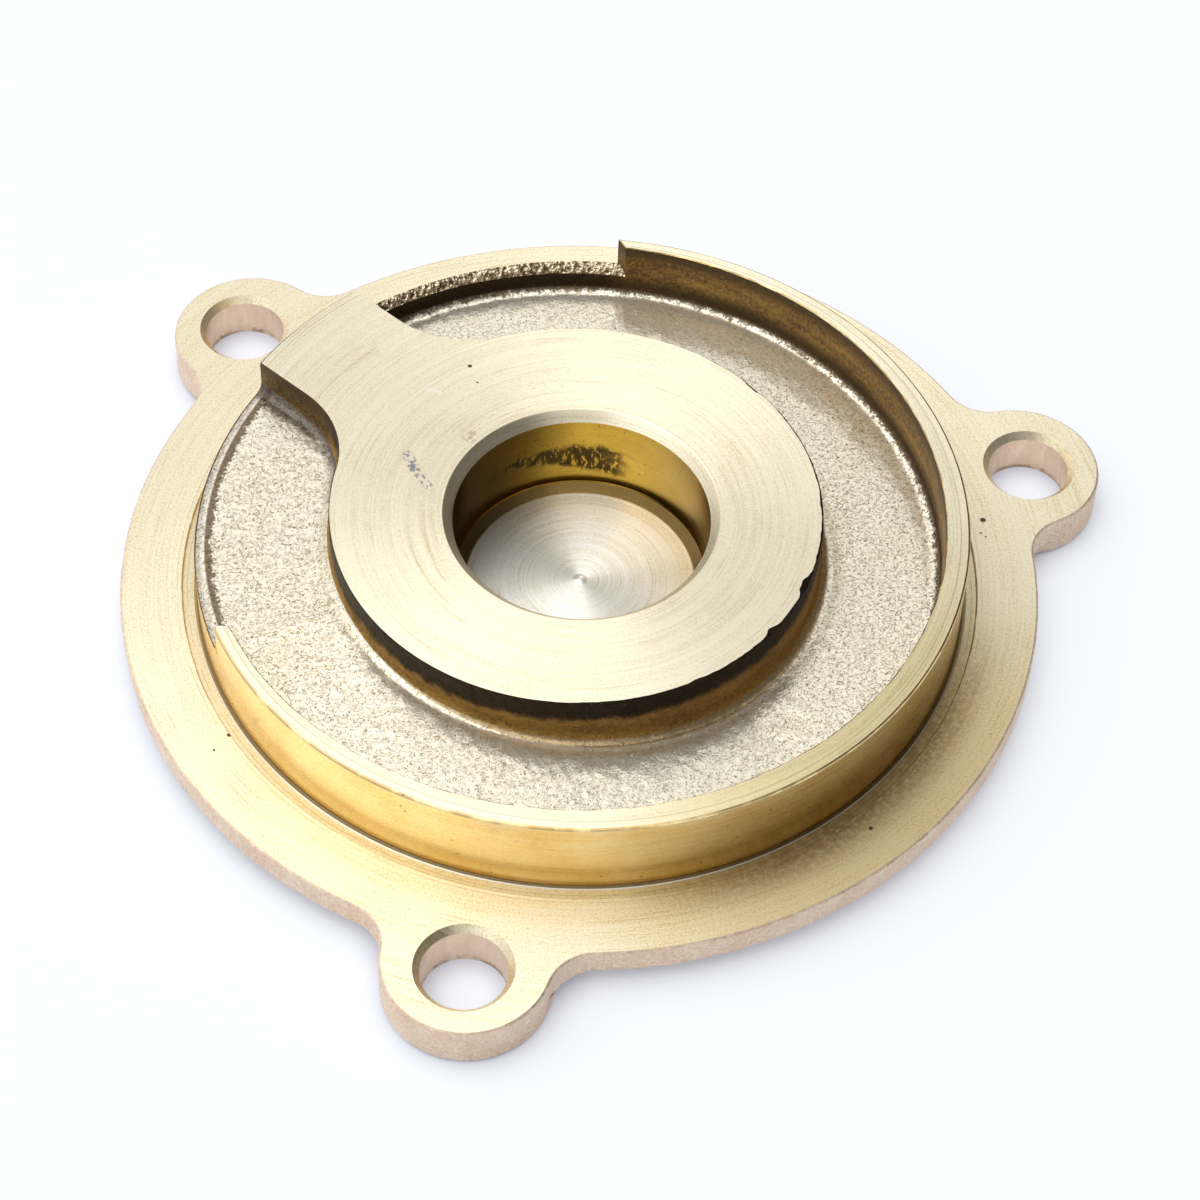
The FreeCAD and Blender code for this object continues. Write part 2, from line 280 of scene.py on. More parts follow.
ramp = (theta >= RING_END - SLIVER / 2) & (theta <= RAMP_START)
climb = (RAMP_START - theta) / (RAMP_START - RING_END)
floor_level = np.where(ramp, DEEP_FLOOR + (INLET_FLOOR - DEEP_FLOOR) * climb, DEEP_FLOOR)
floor_level = np.where(inlet, INLET_FLOOR, floor_level)

past_nose = NOSE_REACH * np.sin(np.radians(theta - RING_END))
rounding = NOSE_REACH - root(NOSE ** 2 - (NOSE - np.clip(past_nose, 0.0, NOSE)) ** 2)
on_nose = ringed & (theta >= RING_END) & (past_nose < NOSE)
lead = RING_WALL + (LEAD_REACH - RING_WALL) * (theta - LEAD_START) / (LEAD_END - LEAD_START)
on_lead = ringed & (theta > LEAD_START) & (theta < RING_START)

foot_wall = np.where(on_nose, rounding, RING_WALL)
foot_wall = np.where(inlet, reach, foot_wall)
foot_wall = np.clip(foot_wall, hub_wall, reach)
upper_wall = np.where(on_lead, lead, foot_wall)
upper_wall = np.where(outlet | inlet, reach, upper_wall)
upper_wall = np.clip(upper_wall, foot_wall, reach)
stepped = (outlet | on_lead) & (hub_wall >= RING_WALL)


def sill_level(radius):
    """Height of the outlet's sill, with its rounded inner edge."""
    share = np.clip((radius - RING_WALL) / SILL_DROP, 0.0, 1.0)
    return SILL - SILL_DROP * (1.0 - share) ** 1.5


def floor_height(radius):
    """Height of the channel at this distance along each column, with the roundings at its feet."""
    points = ray * radius[:, None]
    columns = np.arange(count)
    rise = np.maximum(foot_rise(off_hub(points)), foot_rise(off_ring(points, columns)))
    under_sill = outlet & (radius < RING_WALL + 1e-6)
    rise = np.where(under_sill, np.maximum(rise, foot_rise(RING_WALL - radius)), rise)
    level = np.where(stepped, sill_level(radius), floor_level + rise)
    return np.where(land, TOP, level)


# The skin, ring by ring.

FINISHES = ("bore_floor", "bore_wall", "turned_face", "channel_floor", "core_wall", "sill_skin",
            "spigot_side", "flange_face", "hole_wall", "cast_skin")


class Skin:
    """Rings of points, and the strips between them with their finish."""

    def __init__(self):
        self.rings = []
        self.rough = []
        self.strips = []

    def start(self, xy, z):
        self.rings.append(np.column_stack([xy, np.broadcast_to(z, count)]))
        self.rough.append(np.zeros(count))

    def ring(self, xy, z, finish, rough=0.0, where=None):
        """Adds one ring and the strip that leads to it."""
        self.rings.append(np.column_stack([xy, np.broadcast_to(z, count)]))
        self.rough.append(np.broadcast_to(rough, count).astype(float))
        self.strips.append((finish, np.ones(count, bool) if where is None else where))

    def run(self, xy, z, steps, finish, rough=0.0, end_rough=None, where=None):
        """Adds straight steps from the last ring to this one."""
        begin = self.rings[-1]
        end = np.column_stack([xy, np.broadcast_to(z, count)])
        for step in range(1, steps + 1):
            share = step / steps
            point = begin + (end - begin) * share
            amount = end_rough if step == steps and end_rough is not None else rough
            self.ring(point[:, :2], point[:, 2], finish, amount, where)


def cored(radius):
    return CORE + ray * np.asarray(radius)[:, None]


def turned(radius):
    return spoke * np.broadcast_to(radius, count)[:, None]


def ragged(step, seed):
    """Slow uneven values from 0 to 1, one to a column."""
    values = [noise.noise(Vector((x * step, y * step, seed))) for x, y in ray]
    return np.clip(0.5 + np.array(values), 0.0, 1.0)


skin = Skin()
skin.start(turned(0.0), BORE_FLOOR + 0.12)
for radius, rise in BORE_CENTRE:
    skin.ring(turned(radius), BORE_FLOOR + rise, "bore_floor")
skin.run(turned(BORE_RADIUS - BORE_CORNER[0]), BORE_FLOOR, 3, "bore_floor")
skin.run(turned(BORE_RADIUS - 0.12), BORE_FLOOR + BORE_CORNER[1] - 0.04, 1, "bore_wall")
skin.ring(turned(BORE_RADIUS), BORE_FLOOR + BORE_CORNER[1] + 0.12, "bore_wall")
skin.run(turned(BORE_RADIUS), TOP - BORE_CHAMFER - 0.08, 2, "bore_wall")
skin.ring(turned(BORE_RADIUS + 0.06), TOP - BORE_CHAMFER, "turned_face")
skin.run(turned(BORE_RADIUS + BORE_CHAMFER - 0.06), TOP - 0.06, 1, "turned_face")
skin.ring(turned(BORE_RADIUS + BORE_CHAMFER + 0.04), TOP, "turned_face")

# The hub's edge is chipped on its east and south sides, where the core's skin broke off in turning.
chipped = np.clip(1.0 - np.abs(wrap(theta + 20.0)) / 80.0, 0.0, 1.0) ** 0.5
far_edge = np.clip(1.0 - np.abs(wrap(theta - 35.0)) / 60.0, 0.0, 1.0) ** 0.5
chip = 0.04 + 0.08 * far_edge + chipped * (0.5 * ragged(9.0, 3.1) ** 4 + 0.08 * ragged(40.0, 8.4))
chip = chip * ~land
soft_edge = np.where(land, EDGE * reach / SPIGOT_RADIUS, chip + 0.05)
top_edge = hub_wall - soft_edge
skin.run(cored(top_edge - 1.2), TOP, 3, "turned_face")
skin.run(cored(top_edge), TOP, 2, "turned_face")
wall_top = np.where(land, TOP - EDGE, TOP - 0.08 - 0.7 * chip)
skin.ring(cored(hub_wall), wall_top, "core_wall", 0.02)
hub_bottom = np.where(land, wall_top, np.minimum(floor_height(hub_wall), wall_top))
skin.run(cored(hub_wall), hub_bottom, 9, "core_wall", HUB_ROUGH)

# The channel's floor, close together over the foot roundings.
width = foot_wall - hub_wall
wall_slant = np.clip(np.gradient(hub_wall, np.radians(theta)) / np.maximum(hub_wall, 1.0), -4.0, 4.0)
hub_zone = np.minimum(FOOT * np.sqrt(1.0 + wall_slant ** 2), 0.45 * width)
ring_zone = np.minimum(FOOT * 1.02, 0.45 * width)
quarter = np.radians(np.arange(15.0, 91.0, 15.0))
inner_lanes = [hub_zone * (1.0 - math.cos(turn)) for turn in quarter]
middle = width - hub_zone - ring_zone
middle_lanes = [hub_zone + middle * share for share in np.linspace(0.0, 1.0, 29)[1:]]
outer_lanes = [width - ring_zone * (1.0 - math.cos(turn)) for turn in quarter[::-1][1:]] + [width]
calm = np.where(inlet, 0.0, 1.0)
lanes = inner_lanes + middle_lanes + outer_lanes
for number, lane in enumerate(lanes):
    lanes_left = len(lanes) - number
    height = np.where(land, wall_top, floor_height(hub_wall + lane))
    height = np.minimum(height, wall_top)
    roughness = FLOOR_ROUGH if lanes_left > 3 else FLOOR_ROUGH * np.maximum(calm, (lanes_left - 1) / 3)
    at_wall = number < 3 or lanes_left < 3
    kind = "core_wall" if at_wall else "channel_floor"
    skin.ring(cored(hub_wall + lane), height, kind, np.where(land, 0.0, roughness))

# The ring's inner wall, with the sill at the outlet.
foot_top = skin.rings[-1][:, 2]
raised = ringed | (outlet & ~land & ~stepped)
step_level = np.where(raised, np.maximum(foot_top, sill_level(foot_wall)), foot_top)
step_level = np.where(land, wall_top, step_level)
skin.run(cored(foot_wall), step_level, 4, "core_wall", RING_ROUGH)
ring_top = np.where(ringed | land, TOP, np.where(outlet, SILL, foot_top))
break_edge = np.where(ringed | land, EDGE, 0.1)
inner_break = np.minimum(0.06 + 0.1 * ragged(60.0, 5.5), 0.3 * (reach - upper_wall))
for share in (0.12, 0.28, 0.46, 0.66, 0.85, 1.0):
    radius = foot_wall + (upper_wall - foot_wall) * share
    level = np.where((outlet & ~land) | on_lead, sill_level(radius), step_level)
    radius = np.where(outlet & ~land, np.minimum(radius, reach - break_edge * share), radius)
    skin.ring(cored(radius), level, "sill_skin", np.where(outlet, HUB_ROUGH * (share < 0.9), 0.0))
sill_edge = skin.rings[-1][:, 2]
wall_end = np.where(ringed, TOP - 0.06 - 0.1 * ragged(60.0, 5.5), sill_edge)
wall_xy = skin.rings[-1][:, :2]
skin.run(wall_xy, wall_end, 5, "core_wall", RING_ROUGH, end_rough=0.02)
top_start = np.where(ringed, upper_wall + inner_break, np.hypot(*(wall_xy - CORE).T))
skin.ring(cored(top_start), np.where(ringed, TOP, sill_edge), "spigot_side")
at_tip = ringed & (theta >= RING_END) & (past_nose < NOSE_CORNER)
tip_cut = np.where(at_tip, NOSE_CORNER - root(NOSE_CORNER ** 2 - (NOSE_CORNER - past_nose) ** 2), 0.0)
top_end = np.where(ringed, np.maximum(reach - np.maximum(EDGE, tip_cut + 0.1), top_start), top_start)
skin.run(cored(top_end), np.where(ringed, TOP, sill_edge), 2, "turned_face")

# The spigot's turned side and the relief round its foot.
side_top = np.where(land, wall_top, ring_top - break_edge)
side_top = np.where(ringed, TOP - np.minimum(EDGE, reach - top_start), side_top)
side_top = np.where(inlet & ~land, foot_top - 0.04, side_top)
middle_z = np.where(ringed, TOP - EDGE * 0.3, side_top)
side = SPIGOT_RADIUS - tip_cut
ledge = np.minimum(side_top, INLET_FLOOR)
skin.ring(turned(side - np.where(ringed, EDGE * 0.3, 0.0)), middle_z, "spigot_side")
skin.ring(turned(side), side_top, "spigot_side")
skin.run(turned(side), ledge, 2, "spigot_side")
skin.run(turned(SPIGOT_RADIUS), ledge - 0.02, 1, "spigot_side")
skin.run(turned(SPIGOT_RADIUS), RELIEF, 3, "spigot_side")
for step, rise in RELIEF_LIP:
    skin.ring(turned(SPIGOT_RADIUS + step), RELIEF + rise, "flange_face")
skin.ring(turned(RELIEF_RADIUS - 0.1), RELIEF - 0.02, "flange_face")
skin.ring(turned(RELIEF_RADIUS), RELIEF + 0.08, "flange_face")
skin.ring(turned(RELIEF_RADIUS + 0.05), 0.0, "flange_face")

# The flange's rim, with the lugs.
turn = np.radians(lug_side)
lug_rim = LUG_CENTRE * np.cos(turn) + root(LUG_RADIUS ** 2 - (LUG_CENTRE * np.sin(turn)) ** 2)
blend_turn = np.radians(BLEND_END - lug_side)
blend_chord = root(LUG_BLEND ** 2 - (BLEND_CENTRE * np.sin(blend_turn)) ** 2)
blend_rim = BLEND_CENTRE * np.cos(blend_turn) - blend_chord
rim = np.where(lug_side < LUG_END, lug_rim, np.where(lug_side < BLEND_END, blend_rim, PLATE_RADIUS))
rim_xy = turned(rim)
tangent = np.roll(rim_xy, -1, axis=0) - np.roll(rim_xy, 1, axis=0)
tangent /= np.linalg.norm(tangent, axis=1)[:, None]
outward = np.column_stack([tangent[:, 1], -tangent[:, 0]])

holed = BOLT_RADIUS * np.sin(turn) < HOLE_MOUTH + 1e-6
half_chord = root(HOLE_MOUTH ** 2 - (BOLT_RADIUS * np.sin(turn)) ** 2)
mid_flange = RELIEF_RADIUS + 0.6 * (rim - RELIEF_RADIUS)
near_mouth = turned(np.where(holed, BOLT_RADIUS * np.cos(turn) - half_chord, mid_flange))
far_mouth = turned(np.where(holed, BOLT_RADIUS * np.cos(turn) + half_chord, mid_flange))
hole_centre = heading(lug_name) * BOLT_RADIUS
both_holed = holed & np.roll(holed, -1)
skin.run(near_mouth, 0.0, 4, "flange_face")
skin.run(far_mouth, 0.0, 1, "flange_face", where=~both_holed)
skin.run(rim_xy - outward * 0.3, 0.0, 3, "flange_face")
skin.ring(rim_xy - outward * 0.1, -0.1, "cast_skin", 0.03)
skin.ring(rim_xy, -0.32, "cast_skin", 0.1)
soft_back = 0.5 * np.clip((lug_side - LUG_END) / (BLEND_END - LUG_END), 0.0, 1.0)
skin.run(rim_xy, PLATE_BACK + soft_back, 6, "cast_skin", RIM_ROUGH)
skin.ring(rim_xy - outward * 0.3 * soft_back[:, None], PLATE_BACK + 0.3 * soft_back, "cast_skin", 0.1)
skin.ring(rim_xy - outward * soft_back[:, None], PLATE_BACK, "cast_skin", 0.08)

# The back: round bosses under the lugs, the plain plate, and the boss behind the bore.
bossed = LUG_CENTRE * np.sin(turn) < LUG_RADIUS + 1e-6
both_bossed = bossed & np.roll(bossed, -1)
boss_centre = heading(lug_name) * LUG_CENTRE
boss_chord = root(LUG_RADIUS ** 2 - (LUG_CENTRE * np.sin(turn)) ** 2)
plain_back = np.minimum(LUG_CENTRE * math.cos(math.asin(LUG_RADIUS / LUG_CENTRE)), rim - 1.0)
far_boss = turned(np.where(bossed, LUG_CENTRE * np.cos(turn) + boss_chord, plain_back))
near_boss = turned(np.where(bossed, LUG_CENTRE * np.cos(turn) - boss_chord, plain_back))


def shrunk(xy, centre, share, members):
    """Points drawn towards a centre, for the columns that belong to it."""
    return np.where(members[:, None], centre + (xy - centre) * share, xy)


bevel_shares = [(1.0 - BACK_BEVEL * run / LUG_RADIUS, BACK_BEVEL * rise) for run, rise in BEVEL_STEPS]
skin.ring(far_boss, PLATE_BACK, "cast_skin", 0.08)
for share, rise in bevel_shares:
    skin.ring(shrunk(far_boss, boss_centre, share, bossed), np.where(bossed, BASE + rise, PLATE_BACK),
              "cast_skin", 0.07, both_bossed)
low_share = HOLE_RADIUS / HOLE_MOUTH
far_low = turned(np.minimum(mid_flange, LUG_CENTRE))
far_low = np.where(holed[:, None], hole_centre + (far_mouth - hole_centre) * low_share, far_low)
near_low = np.where(holed[:, None], hole_centre + (near_mouth - hole_centre) * low_share, far_low)
far_low = np.where(bossed[:, None], far_low, far_boss)
near_low = np.where(bossed[:, None], near_low, near_boss)
inner_far = shrunk(far_boss, boss_centre, bevel_shares[-1][0], bossed)
inner_near = shrunk(near_boss, boss_centre, bevel_shares[-1][0], bossed)
unholed = bossed & ~holed
far_low = np.where(unholed[:, None], (inner_far + inner_near) / 2, far_low)
near_low = np.where(unholed[:, None], far_low, near_low)
back_level = np.where(bossed, BASE, PLATE_BACK)
skin.run(far_low, back_level, 2, "cast_skin", 0.06, 0.0, both_bossed)
skin.run(near_low, back_level, 1, "cast_skin", 0.0, 0.0, both_bossed & ~both_holed)
skin.run(inner_near, back_level, 2, "cast_skin", 0.06, where=both_bossed)
for share, rise in bevel_shares[::-1][1:]:
    skin.ring(shrunk(near_boss, boss_centre, share, bossed), np.where(bossed, BASE + rise, PLATE_BACK),
              "cast_skin", 0.07, both_bossed)
skin.ring(near_boss, PLATE_BACK, "cast_skin", 0.07, both_bossed)
skin.run(turned(BACK_BOSS + BACK_FILLET), PLATE_BACK, 5, "cast_skin", BACK_ROUGH)
for bend in (30.0, 60.0, 90.0):
    run = 1.0 - math.sin(math.radians(bend))
    fall = BACK_FILLET * (1.0 - math.cos(math.radians(bend)))
    skin.ring(turned(BACK_BOSS + BACK_FILLET * run), PLATE_BACK - fall, "cast_skin", 0.06)
for run, rise in BEVEL_STEPS:
    skin.ring(turned(BACK_BOSS - BACK_BEVEL * run), BASE + BACK_BEVEL * rise, "cast_skin", 0.05)
skin.run(turned(0.0), BASE, 4, "cast_skin", 0.06)


def skin_faces():
    """Points, their roughness, faces and each face's finish, with shared points made one."""
    points = np.concatenate(skin.rings)
    rough = np.concatenate(skin.rough)
    faces = []
    finish = []
    following = (np.arange(count) + 1) % count
    for row, (kind, where) in enumerate(skin.strips):
        first = row * count + np.arange(count)
        second = row * count + following
        quads = np.column_stack([first, second, second + count, first + count])[where]
        faces.append(quads)
        finish.append(np.full(len(quads), FINISHES.index(kind)))
    # Walls of the bolt holes, from their mouths down to the back.
    holes = np.flatnonzero(both_holed)
    for top, low, flip in ((near_mouth, near_low, False), (far_mouth, far_low, True)):
        levels = [(top, 0.0, 0.0), (shrunk(top, hole_centre, low_share, holed), -HOLE_CHAMFER, 0.02)]
        levels += [(levels[1][0], BASE * share, 0.05) for share in (0.36, 0.58, 0.8)]
        levels.append((low, BASE, 0.0))
        for (upper, z_upper, _), (lower, z_lower, amount) in zip(levels, levels[1:]):
            begin = len(points)
            points = np.concatenate([points, np.column_stack([upper, np.full(count, z_upper)]),
                                     np.column_stack([lower, np.full(count, z_lower)])])
            rough = np.concatenate([rough, np.zeros(count), np.full(count, amount)])
            quads = np.column_stack([begin + holes, begin + following[holes],
                                     begin + count + following[holes], begin + count + holes])
            faces.append(quads[:, ::-1] if flip else quads)
            kind = "flange_face" if z_upper == 0.0 else "hole_wall"
            finish.append(np.full(len(quads), FINISHES.index(kind)))
    keys = np.round(points * 2000.0).astype(np.int64)
    _, first_seen, shared = np.unique(keys, axis=0, return_index=True, return_inverse=True)
    shared = shared.reshape(-1)
    return points[first_seen], rough[first_seen], shared[np.concatenate(faces)], np.concatenate(finish)


def clean_faces(faces, finish):
    """Faces without repeated corners, where at least three are left."""
    kept = []
    kinds = []
    for corners, kind in zip(faces.tolist(), finish.tolist()):
        ring = [corner for place, corner in enumerate(corners) if corner != corners[place - 1]]
        if len(set(ring)) >= 3 and len(set(ring)) == len(ring):
            kept.append(ring)
            kinds.append(kind)
    return kept, kinds


def cast_relief(points, normals, rough):
    """Moves rough points along their normals, as the sand left them."""
    moved = points.copy()
    for number in np.flatnonzero(rough > 0.0):
        x, y, z = points[number]
        coarse = noise.noise(Vector((x, y, z)) * 0.55)
        medium = noise.noise(Vector((x + 40.0, y, z)) * 1.3)
        fine = noise.noise(Vector((x, y + 70.0, z)) * 2.6)
        height = 0.8 * coarse + 0.8 * medium + 0.6 * fine
        outside = x * x + y * y > (SPIGOT_RADIUS + 1.0) ** 2 or z < PLATE_BACK + 0.01
        if outside:  # only sinks, so that the casting keeps its size
            height = -abs(height) - 0.1
        moved[number] = points[number] + normals[number] * height * rough[number]
    return moved


TURNED = ("bore_floor", "bore_wall", "turned_face", "spigot_side", "flange_face")
SHARP_TURNS = (42.0, 24.0, 11.0)  # degrees from which an edge between cast, mixed or turned faces is sharp


def mark_edges(mesh):
    """Keeps turned edges crisp, and cast ones only where they turn sharply."""
    turned_kinds = {FINISHES.index(kind) for kind in TURNED}
    shell = bmesh.new()
    shell.from_mesh(mesh)
    for edge in shell.edges:
        if len(edge.link_faces) == 2:
            machined = sum(face.material_index in turned_kinds for face in edge.link_faces)
            edge.smooth = edge.calc_face_angle(0.0) < math.radians(SHARP_TURNS[machined])
    shell.to_mesh(mesh)
    shell.free()


points, rough, faces, finish = skin_faces()
faces, finish = clean_faces(faces, finish)
mesh = bpy.data.meshes.new("cover_casting")
mesh.from_pydata((points * METRE).tolist(), [], faces)
mesh.validate()
shell = bmesh.new()
shell.from_mesh(mesh)
bmesh.ops.recalc_face_normals(shell, faces=shell.faces)
shell.to_mesh(mesh)
shell.free()
mesh.update()
normals = np.zeros(len(mesh.vertices) * 3)
mesh.vertices.foreach_get("normal", normals)
points = cast_relief(points, normals.reshape(-1, 3), rough)
mesh.vertices.foreach_set("co", (points * METRE).ravel())
mesh.polygons.foreach_set("material_index", finish)
mesh.polygons.foreach_set("use_smooth", [True] * len(mesh.polygons))
mesh.update()
mark_edges(mesh)
# The sheen of turned metal runs round the middle of this space, so it sits on the axis.
mesh.use_auto_texspace = False
mesh.texspace_location = (0.0, 0.0, 0.0)
mesh.texspace_size = (0.06, 0.06, 0.06)
casting = bpy.data.objects.new("cover_casting", mesh)
bpy.context.collection.objects.link(casting)

# Finishes.


class Signal:
    """One output of a finish's nodes. Arithmetic on it adds Math nodes."""

    def __init__(self, finish, socket):
        self.finish = finish
        self.socket = socket

    def maths(self, operation, *values, clamp=False):
        inputs = dict(enumerate(values))
        return self.finish.node("ShaderNodeMath", {"operation": operation, "use_clamp": clamp}, inputs)

    def __add__(self, other):
        return self.maths("ADD", self, other)

    __radd__ = __add__

    def __sub__(self, other):
        return self.maths("SUBTRACT", self, other)

    def __rsub__(self, other):
        return self.maths("SUBTRACT", other, self)

    def __mul__(self, other):
        return self.maths("MULTIPLY", self, other)

    __rmul__ = __mul__

    def __truediv__(self, other):
        return self.maths("DIVIDE", self, other)

    def __pow__(self, other):
        return self.maths("POWER", self, other)

    def size(self):
        return self.maths("ABSOLUTE", self)

    def within(self):
        """Held between 0 and 1."""
        return self.maths("ADD", self, 0.0, clamp=True)

    def high(self, other):
        return self.maths("MAXIMUM", self, other)

    def step(self, begin, end):
        """0 before begin, 1 after end, and smooth between them."""
        return self.finish.node("ShaderNodeMapRange", {"interpolation_type": "SMOOTHSTEP"},
                                {"Value": self, "From Min": begin, "From Max": end})


class Finish:
    """A node material for one of the casting's surfaces."""

    def __init__(self, name, tree=None):
        if tree is None:
            self.material = bpy.data.materials.new(name)
            self.material.use_nodes = True
            tree = self.material.node_tree
        self.tree = tree
        self.tree.nodes.clear()

    def node(self, kind, settings=None, inputs=None, output=0):
        """Adds a node, with its settings first and then its sockets' values or links."""
        made = self.tree.nodes.new(kind)
        for key, value in (settings or {}).items():
            setattr(made, key, value)
        for key, value in (inputs or {}).items():
            socket = made.inputs[key]
            if isinstance(value, Signal):
                self.tree.links.new(value.socket, socket)
            else:
                socket.default_value = value
        return None if output is None else Signal(self, made.outputs[output])

    def place(self):
        """The surface's x, y and z in millimetres, and the same as one vector."""
        raw = self.node("ShaderNodeTexCoord", output="Object")
        vector = self.node("ShaderNodeVectorMath", {"operation": "SCALE"}, {0: raw, "Scale": 1.0 / METRE})
        split = self.node("ShaderNodeSeparateXYZ", inputs={0: vector}).socket.node
        return vector, *(Signal(self, output) for output in split.outputs)

    def grain(self, vector, scale, detail=2.0, roughness=0.5, distortion=0.0):
        """Noise from 0 to 1."""
        return self.node("ShaderNodeTexNoise", {}, {"Vector": vector, "Scale": scale, "Detail": detail,
                                                    "Roughness": roughness, "Distortion": distortion})

    def vector(self, x, y, z):
        return self.node("ShaderNodeCombineXYZ", inputs={0: x, 1: y, 2: z})

    def blend(self, share, first, second):
        """Colour that goes from first to second."""
        return self.node("ShaderNodeMix", {"data_type": "RGBA"},
                         {0: share, 6: opaque(first), 7: opaque(second)}, 2)

    def tint(self, share, colour, glaze):
        """Colour seen through a share of a coloured glaze, which keeps its grain."""
        return self.node("ShaderNodeMix", {"data_type": "RGBA", "blend_type": "MULTIPLY"},
                         {0: share, 6: colour, 7: opaque(glaze)}, 2)

    def bump(self, height, distance):
        """A normal from heights of 0 to 1 over this distance in millimetres."""
        return self.node("ShaderNodeBump", {}, {"Height": height, "Distance": distance * METRE})

    def metal(self, colour, roughness, normal, metallic=1.0, anisotropy=0.0):
        inputs = {"Base Color": colour, "Roughness": roughness, "Normal": normal, "Metallic": metallic,
                  "Anisotropic": anisotropy, "Anisotropic Rotation": 0.25 if anisotropy else 0.0}
        shader = self.node("ShaderNodeBsdfPrincipled", {}, inputs)
        self.node("ShaderNodeOutputMaterial", {}, {"Surface": shader}, None)
        return self.material


LAND_WAY = (0.766, 0.643)  # the land runs this much to the west and to the north


def opaque(colour):
    return colour if isinstance(colour, Signal) else (*colour, 1.0)


def lathe_marks(finish, vector, x, y, pitch, break_up=0.04):
    """Radius, and the fine rings that a lathe leaves, as a height from 0 to 1."""
    radius = (x * x + y * y) ** 0.5
    wander = finish.grain(finish.vector(radius * 0.5, x * break_up, y * break_up), 1.0, 1.0)
    ridges = (radius * (math.tau / pitch) + wander * 6.0).maths("SINE") * 0.5 + 0.5
    track = finish.vector(radius * (1.1 / pitch), x * break_up, y * break_up)
    return radius, ridges * 0.42 + finish.grain(track, 1.0, 1.0) * 0.58


def apart(x, y, place):
    return ((x - place[0]) ** 2.0 + (y - place[1]) ** 2.0) ** 0.5


def spot(x, y, place, radius):
    """1 inside a small round mark."""
    return 1.0 - apart(x, y, place).step(radius * 0.55, radius)


def stroke(x, y, begin, end, half_width):
    """1 on a short straight mark."""
    run = (end[0] - begin[0], end[1] - begin[1])
    length = run[0] ** 2 + run[1] ** 2
    along = (((x - begin[0]) * run[0] + (y - begin[1]) * run[1]) / length).within()
    away = ((x - begin[0] - along * run[0]) ** 2.0 + (y - begin[1] - along * run[1]) ** 2.0) ** 0.5
    return 1.0 - away.step(half_width * 0.5, half_width)


def turned_metal(name, light, dark, roughness, pitch, sparkle, anisotropy, pits=(), marks=None):
    """Turned brass: rings of slightly different tone, fine scratches and small dark pores."""
    f = Finish(name)
    vector, x, y, _ = f.place()
    radius, rings = lathe_marks(f, vector, x, y, pitch)
    wide_rings = f.grain(f.vector(radius * 1.6, x * 0.03, y * 0.03), 1.0, 2.0)
    speckle = f.grain(vector, 4.2, 3.0, 0.7)
    cloud = f.grain(vector, 0.07, 3.0)
    crossing = f.grain(f.vector(radius * 2.0, x * 0.03, y * 0.03), 1.0, 1.0)
    groove = 1.0 - (crossing - 0.5).size().step(0.0, 0.05)
    groove = groove * f.grain(f.vector(x * 0.12, y * 0.12, radius * 0.3), 1.0, 2.0).step(0.4, 0.62)
    sparks = f.grain(vector, 4.6, 0.0)
    sparks = (sparks.step(0.6, 0.7) - (1.0 - sparks.step(0.28, 0.38))) * 0.16
    tone = 0.7 + (rings - 0.5) * 1.35 + (wide_rings - 0.5) * 0.25
    tone = tone + (speckle + sparks - 0.5) * sparkle + (cloud - 0.5) * 0.5
    colour = f.blend((tone - groove * 0.35).within(), dark, light)
    dots = f.node("ShaderNodeTexVoronoi", {}, {"Vector": vector, "Scale": 0.42})
    pore = (1.0 - dots.step(0.02, 0.05)) * f.grain(vector, 0.19, 0.0).step(0.5, 0.56) * 0.5
    for place, size in pits:
        pore = pore.high(spot(x, y, place, size))
    if marks:
        colour = marks(f, vector, x, y, radius, colour)
    colour = f.blend(pore * 0.9, colour, (0.13, 0.09, 0.06))
    rough = roughness + (rings - 0.5) * 0.1 + (cloud - 0.5) * 0.06 + (speckle - 0.5) * 0.1 + pore * 0.4
    normal = f.bump(rings + speckle * 0.5 - groove * 0.6 - pore * 3.0, 0.006)
    return f.metal(colour, rough, normal, 1.0, anisotropy)


def band(radius, middle, half_width):
    """1 on a thin turned line at this radius."""
    return 1.0 - (radius - middle).size().step(half_width * 0.4, half_width)


def front_right(x, y, radius):
    """1.4 straight to the front right of the axis, and less to its sides."""
    return (x - y) / radius


def hub_marks(f, vector, x, y, radius, colour):
    """A bluish bruise, a nick, a pinkish stain, painted shade on the outer rim towards the front right, and
    the turned line across the land.
    """
    bruise = stroke(x, y, (-19.2, 7.5), (-18.3, 5.3), 0.8)
    bruise = bruise.high(stroke(x, y, (-18.3, 5.3), (-16.6, 2.9), 0.6))
    bruise = bruise * f.grain(vector, 1.9, 3.0).step(0.46, 0.56)
    nick = stroke(x, y, (-17.8, 17.5), (-16.1, 17.0), 0.22)
    nick = nick.high(stroke(x, y, (-15.2, 2.2), (-14.6, 1.7), 0.16))
    halo = spot(x, y, (-12.5, 10.4), 1.15) * f.grain(vector, 1.5, 2.0).step(0.4, 0.56)
    halo = halo.high(spot(x, y, (-12.45, 10.3), 0.3) * 1.3)
    colour = f.blend(halo * 0.6, colour, (0.5, 0.37, 0.32))
    colour = f.blend(bruise * 0.85, colour, (0.22, 0.24, 0.33))
    colour = f.blend(nick * 0.8, colour, (1.0, 0.98, 0.9))
    # Painted shade: the outer rim is tinted darker and browner towards the front right.
    rim = radius.step(38.0, 39.0) * front_right(x, y, radius).step(0.95, 1.4) * 0.7
    colour = f.tint(rim, colour, (0.82, 0.74, 0.48))
    return f.blend(band(radius, 40.95, 0.09) * 0.55, colour, (0.5, 0.42, 0.26))


